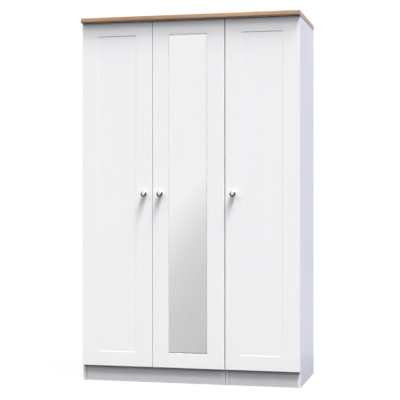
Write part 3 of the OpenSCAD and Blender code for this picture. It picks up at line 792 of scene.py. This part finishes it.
def door_leaf(side):
    """A framed door: rounded arris, sunk panel or mirror pocket, hinge bores and a knob hole."""
    node = f"{side}_door"
    (x0, front, z0), (x1, back, z1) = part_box(node)
    whole = ((x0, x1), (z0, z1))
    shift = MIRROR_SHIFT if side == "centre" else 0
    mouth = ((x0 + STILE - shift, x1 - STILE - shift), (z0 + BOTTOM_RAIL, z1 - TOP_RAIL))
    rings = [ring_of(whole, -DOOR_BACK_EASE, back, 0.3 * MM),
             ring_of(whole, 0, back - DOOR_BACK_EASE, 0.5 * MM)]
    for k in range(ARRIS_STEPS + 1):
        lean = math.radians(90 * k / ARRIS_STEPS)
        inward = ARRIS * (1 - math.cos(lean))
        rings.append(ring_of(whole, -inward, front + ARRIS * (1 - math.sin(lean)), DOOR_CORNER))
    rings.append(ring_of(mouth, 0.5 * MM, front, MOUTH_CORNER))
    rings.append(ring_of(mouth, 0.1 * MM, front + 0.12 * MM, MOUTH_CORNER))
    if side == "centre":
        rings.append(ring_of(mouth, -MIRROR_SLOPE, front + MIRROR_SINK, MIRROR_CORNER))
        rings.append(ring_of(mouth, -MIRROR_SLOPE, front + POCKET_DEPTH, MIRROR_CORNER))
    else:
        (mx0, mx1), (mz0, mz1) = mouth
        for share, depth in PANEL_EDGE:
            across = (mx0 + PANEL_SLOPE * share, mx1 - PANEL_SLOPE * share)
            upright = (mz0 + LOWER_SLOPE * share, mz1 - UPPER_SLOPE * share)
            ring = []
            for x, y, z in upright_ring(across, upright, front, MOUTH_CORNER):
                full = LOWER_DEPTH + (PANEL_DEPTH - LOWER_DEPTH) * (z - mz0) / (mz1 - mz0)
                ring.append((x, y + depth * full, z))
            rings.append(ring)
    shape = bmesh.new()
    loft(shape, rings)
    materials = (FOIL, DOOR_BACK, CORE)
    leaf = as_object(f"{side}_door_leaf_panel", shape, materials)

    bores = []
    for cup in islands(f"{side}_hinge_cups"):
        inner = cup[cup[:, 1] < back - 5 * MM]
        low, high = inner.min(axis=0), inner.max(axis=0)
        x, z = (low[0] + high[0]) / 2, (low[2] + high[2]) / 2
        bores.append((x, z, CUP_BORE_RADIUS, back - CUP_BORE_DEPTH))
    low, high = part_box(f"{side}_knob")
    x, z = (low[0] + high[0]) / 2, (low[2] + high[2]) / 2
    bores.append((x, z, KNOB_HOLE_RADIUS, front - TOOL_OVERRUN))
    shape = bmesh.new()
    for x, z, radius, y in bores:
        turn(shape, [(radius, 0), (radius, back + TOOL_OVERRUN - y)], (x, y, z), (0, 1, 0), 48)
    combine(leaf, as_object("bores", shape, ()), "DIFFERENCE")
    for face in leaf.data.polygons:
        middle = face.center
        near = min(math.hypot(middle.x - x, middle.z - z) / radius for x, z, radius, _ in bores)
        if near < 1.02 and front + 3 * MM < middle.y < back - 0.01 * MM:
            face.material_index = materials.index(CORE)
        elif middle.y > back - 0.01 * MM and face.normal.y > 0.5:
            face.material_index = materials.index(DOOR_BACK)
    leaf.data.set_sharp_from_angle(angle=math.radians(60))
    even_shading(leaf)
    swap(leaf, f"{side}_door_leaf", "white_foil", node)


def mirror_pane():
    """Float glass with ground arrises, silvered so that its face reflects."""
    (x0, front, z0), (x1, back, z1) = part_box("mirror_glass")
    pane = ((x0, x1), (z0, z1))
    rings = [ring_of(pane, -GLASS_BACK_EASE, back, 0.6 * MM),
             ring_of(pane, 0, back - GLASS_BACK_EASE, GLASS_CORNER),
             ring_of(pane, 0, front + GLASS_FRONT_EASE, GLASS_CORNER),
             ring_of(pane, -GLASS_FRONT_EASE, front, GLASS_CORNER)]
    shape = bmesh.new()
    loft(shape, rings)
    glass = as_object("mirror_pane", shape, (RIM, SILVER), 60)
    for face in glass.data.polygons:
        face.material_index = int(face.normal.y < -0.99)
    even_shading(glass)
    swap(glass, "centre_door_leaf", "mirror_glass", "mirror_glass")


def door_knob(side):
    """A turned knob: foot, waisted neck and flattened ball, bored for its screw."""
    low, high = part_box(f"{side}_knob")
    ball = (high[0] - low[0]) / 2
    out = high[1] - low[1]
    centre = ((low[0] + high[0]) / 2, high[1], (low[2] + high[2]) / 2)
    outline = [(radius * MM, along * MM) for radius, along in KNOB_FOOT]
    for k in range(-16, 22):
        lean = math.radians(k * BALL_STEP)
        along = out - BALL_HALF_DEPTH + BALL_HALF_DEPTH * math.sin(lean)
        outline.append((ball * math.cos(lean), along))
    outline.append((0.0, out))
    shape = bmesh.new()
    turn(shape, outline, centre, (0, -1, 0), 72)
    knob = as_object(f"{side}_turned_knob", shape, (KNOB_CHROME,), 50)
    swap(knob, f"{side}_door_leaf", "polished_chrome", f"{side}_knob")


# ---- Boards, oak top and hanging rails ----

BOARD_EASE = 0.6 * MM
OAK_ARRIS = 1.5 * MM
OAK_ROUND = 6.5 * MM
# Distance from the end of the oak top, and how far its section is drawn in there
OAK_END_EASE = ((0.0, 0.6 * MM), (0.2 * MM, 0.2 * MM), (0.6 * MM, 0))
RAIL_WALL = 1.2 * MM
RAIL_EASE = 0.2 * MM
RAIL_SIDES = 24


def eased_board(node, material, slot="white_board"):
    """A board with its outer arrises eased, keeping every bore and rebate of the plain one."""
    (x0, y0, z0), (x1, y1, z1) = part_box(node)
    face = ((x0, x1), (z0, z1))
    slight = 0.3 * BOARD_EASE
    shape = bmesh.new()
    loft(shape, [ring_of(face, -BOARD_EASE, y1, 0.2 * MM), ring_of(face, -slight, y1 - slight, 0.4 * MM),
                 ring_of(face, 0, y1 - BOARD_EASE, 0.6 * MM), ring_of(face, 0, y0 + BOARD_EASE, 0.6 * MM),
                 ring_of(face, -slight, y0 + slight, 0.4 * MM), ring_of(face, -BOARD_EASE, y0, 0.2 * MM)])
    piece = as_object(f"{node}_eased", shape, (material,), 60)
    plain = bmesh.new()
    plain.from_mesh(NODES[node].data)
    bored = as_object("plain_board", plain, ())
    combine(piece, bored, "INTERSECT")
    even_shading(piece)
    swap(piece, "carcass", slot, node)


def oak_board():
    """The oak top: a laminated board with a rounded lower front edge and eased arrises."""
    (x0, y0, z0), (x1, y1, z1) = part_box("oak_top")
    section = [(y0 + OAK_ARRIS * (1 - math.sin(t)), z1 - OAK_ARRIS * (1 - math.cos(t)))
               for t in (math.radians(15 * k) for k in range(7))]
    section += [(y0 + OAK_ROUND * (1 - math.cos(t)), z0 + OAK_ROUND * (1 - math.sin(t)))
                for t in (math.radians(7.5 * k) for k in range(13))]
    section += [(y1, z0), (y1, z1)]
    middle_y, middle_z = (y0 + y1) / 2, (z0 + z1) / 2
    depth, height = y1 - y0, z1 - z0
    rings = []
    ends = [(x0 + inward, ease) for inward, ease in OAK_END_EASE]
    ends += [(x1 - inward, ease) for inward, ease in reversed(OAK_END_EASE)]
    for x, ease in ends:
        rings.append([(x, middle_y + (y - middle_y) * (1 - 2 * ease / depth),
                       middle_z + (z - middle_z) * (1 - 2 * ease / height)) for y, z in section])
    shape = bmesh.new()
    loft(shape, rings)
    board_piece = as_object("oak_board", shape, (OAK,), 60)
    even_shading(board_piece)
    swap(board_piece, "carcass", "oak_laminate", "oak_top")


def oval_rail(name):
    """A drawn oval tube, standing upright in its sockets."""
    (x0, y0, z0), (x1, y1, z1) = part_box(name)
    middle_y, middle_z = (y0 + y1) / 2, (z0 + z1) / 2

    def oval(x, shrink):
        radius = (y1 - y0) / 2 - shrink
        straight = (z1 - z0) / 2 - (y1 - y0) / 2
        points = []
        for k in range(RAIL_SIDES):
            t = 2 * math.pi * (k + 0.5) / RAIL_SIDES
            points.append((x, middle_y + radius * math.cos(t),
                           middle_z + math.copysign(straight, math.sin(t)) + radius * math.sin(t)))
        return points

    rings = [oval(x0, RAIL_WALL), oval(x0, RAIL_EASE), oval(x0 + RAIL_EASE, 0), oval(x1 - RAIL_EASE, 0),
             oval(x1, RAIL_EASE), oval(x1, RAIL_WALL)]
    shape = bmesh.new()
    loft(shape, rings, "joined")
    tube = as_object(f"{name}_tube", shape, (RAIL_CHROME,))
    swap(tube, "carcass", "chrome_plate", name)


# ---- Turned fasteners, repeated by a geometry tree ----

FASTENER_SIZES = ("head radius", "head height", "dome", "shank radius", "shank length", "slot length",
                  "slot width", "slot depth")
HEAD_RINGS = 6
HEAD_SIDES = 20
SHANK_SIDES = 12
SHANK_POINT = 0.45
# The slot's length and width as shares of the head's radius, and its depth as a share of the head's height
SLOT_SHARES = (1.1, 0.24, 0.6)


def fastener_tree():
    """One turned head, slotted crosswise where asked, on a pointed shank, set at every marked point."""
    tree = bpy.data.node_groups.new("turned_fasteners", "GeometryNodeTree")
    tree.interface.new_socket("points", in_out="INPUT", socket_type="NodeSocketGeometry")
    for name in FASTENER_SIZES:
        tree.interface.new_socket(name, in_out="INPUT", socket_type="NodeSocketFloat")
    tree.interface.new_socket("slotted", in_out="INPUT", socket_type="NodeSocketBool")
    tree.interface.new_socket("finish", in_out="INPUT", socket_type="NodeSocketMaterial")
    tree.interface.new_socket("fasteners", in_out="OUTPUT", socket_type="NodeSocketGeometry")
    g = Tree(tree)
    given = g.node("NodeGroupInput")
    height = given["head height"]
    top = g.node("ShaderNodeCombineXYZ", None, {"Z": height})[0]
    line = g.node("GeometryNodeCurvePrimitiveLine", None, {"Start": (0, 0, 0), "End": top})[0]
    line = g.node("GeometryNodeResampleCurve", None, {"Curve": line, "Count": HEAD_RINGS})[0]
    along = g.node("GeometryNodeSplineParameter")["Factor"]
    width = given["head radius"] * (1 - given["dome"] * along * along) ** 0.5
    circle = g.node("GeometryNodeCurvePrimitiveCircle", None, {"Resolution": HEAD_SIDES, "Radius": 1.0})[0]
    head = g.node("GeometryNodeCurveToMesh", None, {
        "Curve": line, "Profile Curve": circle, "Scale": width, "Fill Caps": True})[0]
    bars = []
    for across, along_y in (("slot length", "slot width"), ("slot width", "slot length")):
        size = g.node("ShaderNodeCombineXYZ", None, {
            "X": given[across], "Y": given[along_y], "Z": given["slot depth"] * 2})[0]
        bars.append(g.node("GeometryNodeMeshCube", None, {"Size": size})[0])
    cross = g.node("GeometryNodeTransform", None, {
        "Geometry": g.node("GeometryNodeJoinGeometry", None, {0: bars})[0], "Translation": top})[0]
    cut = g.node("GeometryNodeMeshBoolean", {"operation": "DIFFERENCE", "solver": "EXACT"}, {
        "Mesh 1": head, "Mesh 2": cross, "Self Intersection": True})[0]
    head = g.node("GeometryNodeSwitch", {"input_type": "GEOMETRY"}, {
        "Switch": given["slotted"], "False": head, "True": cut})[0]
    shank = g.node("GeometryNodeMeshCone", None, {
        "Vertices": SHANK_SIDES, "Radius Top": given["shank radius"] * SHANK_POINT,
        "Radius Bottom": given["shank radius"], "Depth": given["shank length"]})[0]
    shank = g.node("GeometryNodeTransform", None, {"Geometry": shank, "Rotation": (math.pi, 0, 0)})[0]
    whole = g.node("GeometryNodeJoinGeometry", None, {0: [head, shank]})[0]
    facing = g.node("GeometryNodeInputNamedAttribute", {"data_type": "FLOAT_VECTOR"}, {"Name": "facing"})[0]
    turned = g.node("FunctionNodeAlignRotationToVector", {"axis": "Z"}, {"Vector": facing})[0]
    placed = g.node("GeometryNodeInstanceOnPoints", None, {
        "Points": given["points"], "Instance": whole, "Rotation": turned})[0]
    solid = g.node("GeometryNodeRealizeInstances", None, {"Geometry": placed})[0]
    finished = g.node("GeometryNodeSetMaterial", None, {"Geometry": solid, "Material": given["finish"]})[0]
    g.node("NodeGroupOutput", None, {0: finished})
    return tree


def fastener_places(node):
    """Where each fastener's head sits, which way it faces, and the sizes of the first one."""
    places, faces, sizes = [], [], None
    for points in islands(node):
        low, high = points.min(axis=0), points.max(axis=0)
        spans = high - low
        axis = min(range(3), key=lambda k: abs(spans[(k + 1) % 3] - spans[(k + 2) % 3]))
        middle = (low + high) / 2
        off_axis = points - middle
        off_axis[:, axis] = 0
        radius = np.linalg.norm(off_axis, axis=1)
        upper = points[:, axis] > middle[axis]
        facing = 1 if radius[upper].max() > radius[~upper].max() else -1
        depth = (high[axis] - points[:, axis]) if facing > 0 else (points[:, axis] - low[axis])
        head_height = depth[radius > 0.95 * radius.max()].max()
        far_end = depth > depth.max() - 0.1 * MM
        if sizes is None:
            sizes = {"head radius": radius.max(), "head height": head_height,
                     "shank radius": radius[far_end].max(), "shank length": depth.max() - head_height}
        spot = middle.copy()
        spot[axis] = (high[axis] if facing > 0 else low[axis]) - facing * head_height
        direction = np.zeros(3)
        direction[axis] = facing
        places.append(spot)
        faces.append(direction)
    return places, faces, sizes


def fasteners(tree, node, body, slotted=True, dome=0.5):
    """One mesh of turned fasteners in place of a CAD node of them."""
    places, faces, sizes = fastener_places(node)
    mesh = bpy.data.meshes.new(node)
    mesh.from_pydata([tuple(place) for place in places], [], [])
    marks = mesh.attributes.new("facing", "FLOAT_VECTOR", "POINT")
    marks.data.foreach_set("vector", np.concatenate(faces).astype(np.float32))
    carrier = add_object(f"{node}_points", mesh)
    sizes["dome"] = dome
    long, wide, deep = SLOT_SHARES
    sizes["slot length"] = sizes["head radius"] * long
    sizes["slot width"] = sizes["head radius"] * wide
    sizes["slot depth"] = sizes["head height"] * deep
    maker = carrier.modifiers.new("fasteners", "NODES")
    maker.node_group = tree
    for item in tree.interface.items_tree:
        if item.name in sizes:
            maker[item.identifier] = float(sizes[item.name])
        elif item.name == "slotted":
            maker[item.identifier] = slotted
        elif item.name == "finish":
            maker[item.identifier] = NICKEL
    made = evaluated_mesh(carrier)
    bpy.data.objects.remove(carrier)
    made.shade_smooth()
    made.set_sharp_from_angle(angle=math.radians(40))
    swap(add_object(f"{node}_turned", made), body, "nickel_steel", node)


# ---- Making the pieces ----

for side in SIDES:
    door_leaf(side)
    door_knob(side)
mirror_pane()
for material, names in BOARDS.items():
    for name in names:
        eased_board(name, material)
oak_board()
oval_rail("double_hanging_rail")
oval_rail("single_hanging_rail")
FASTENER_TREE = fastener_tree()
for node in ("hinge_plate_screws", "hinge_arm_screws", "rail_socket_screws", "oak_top_screws"):
    fasteners(FASTENER_TREE, node, "carcass")
fasteners(FASTENER_TREE, "back_panel_pins", "carcass", slotted=False)
for side in SIDES:
    fasteners(FASTENER_TREE, f"{side}_cup_screws", f"{side}_door_leaf")
    fasteners(FASTENER_TREE, f"{side}_knob_screw", f"{side}_door_leaf")
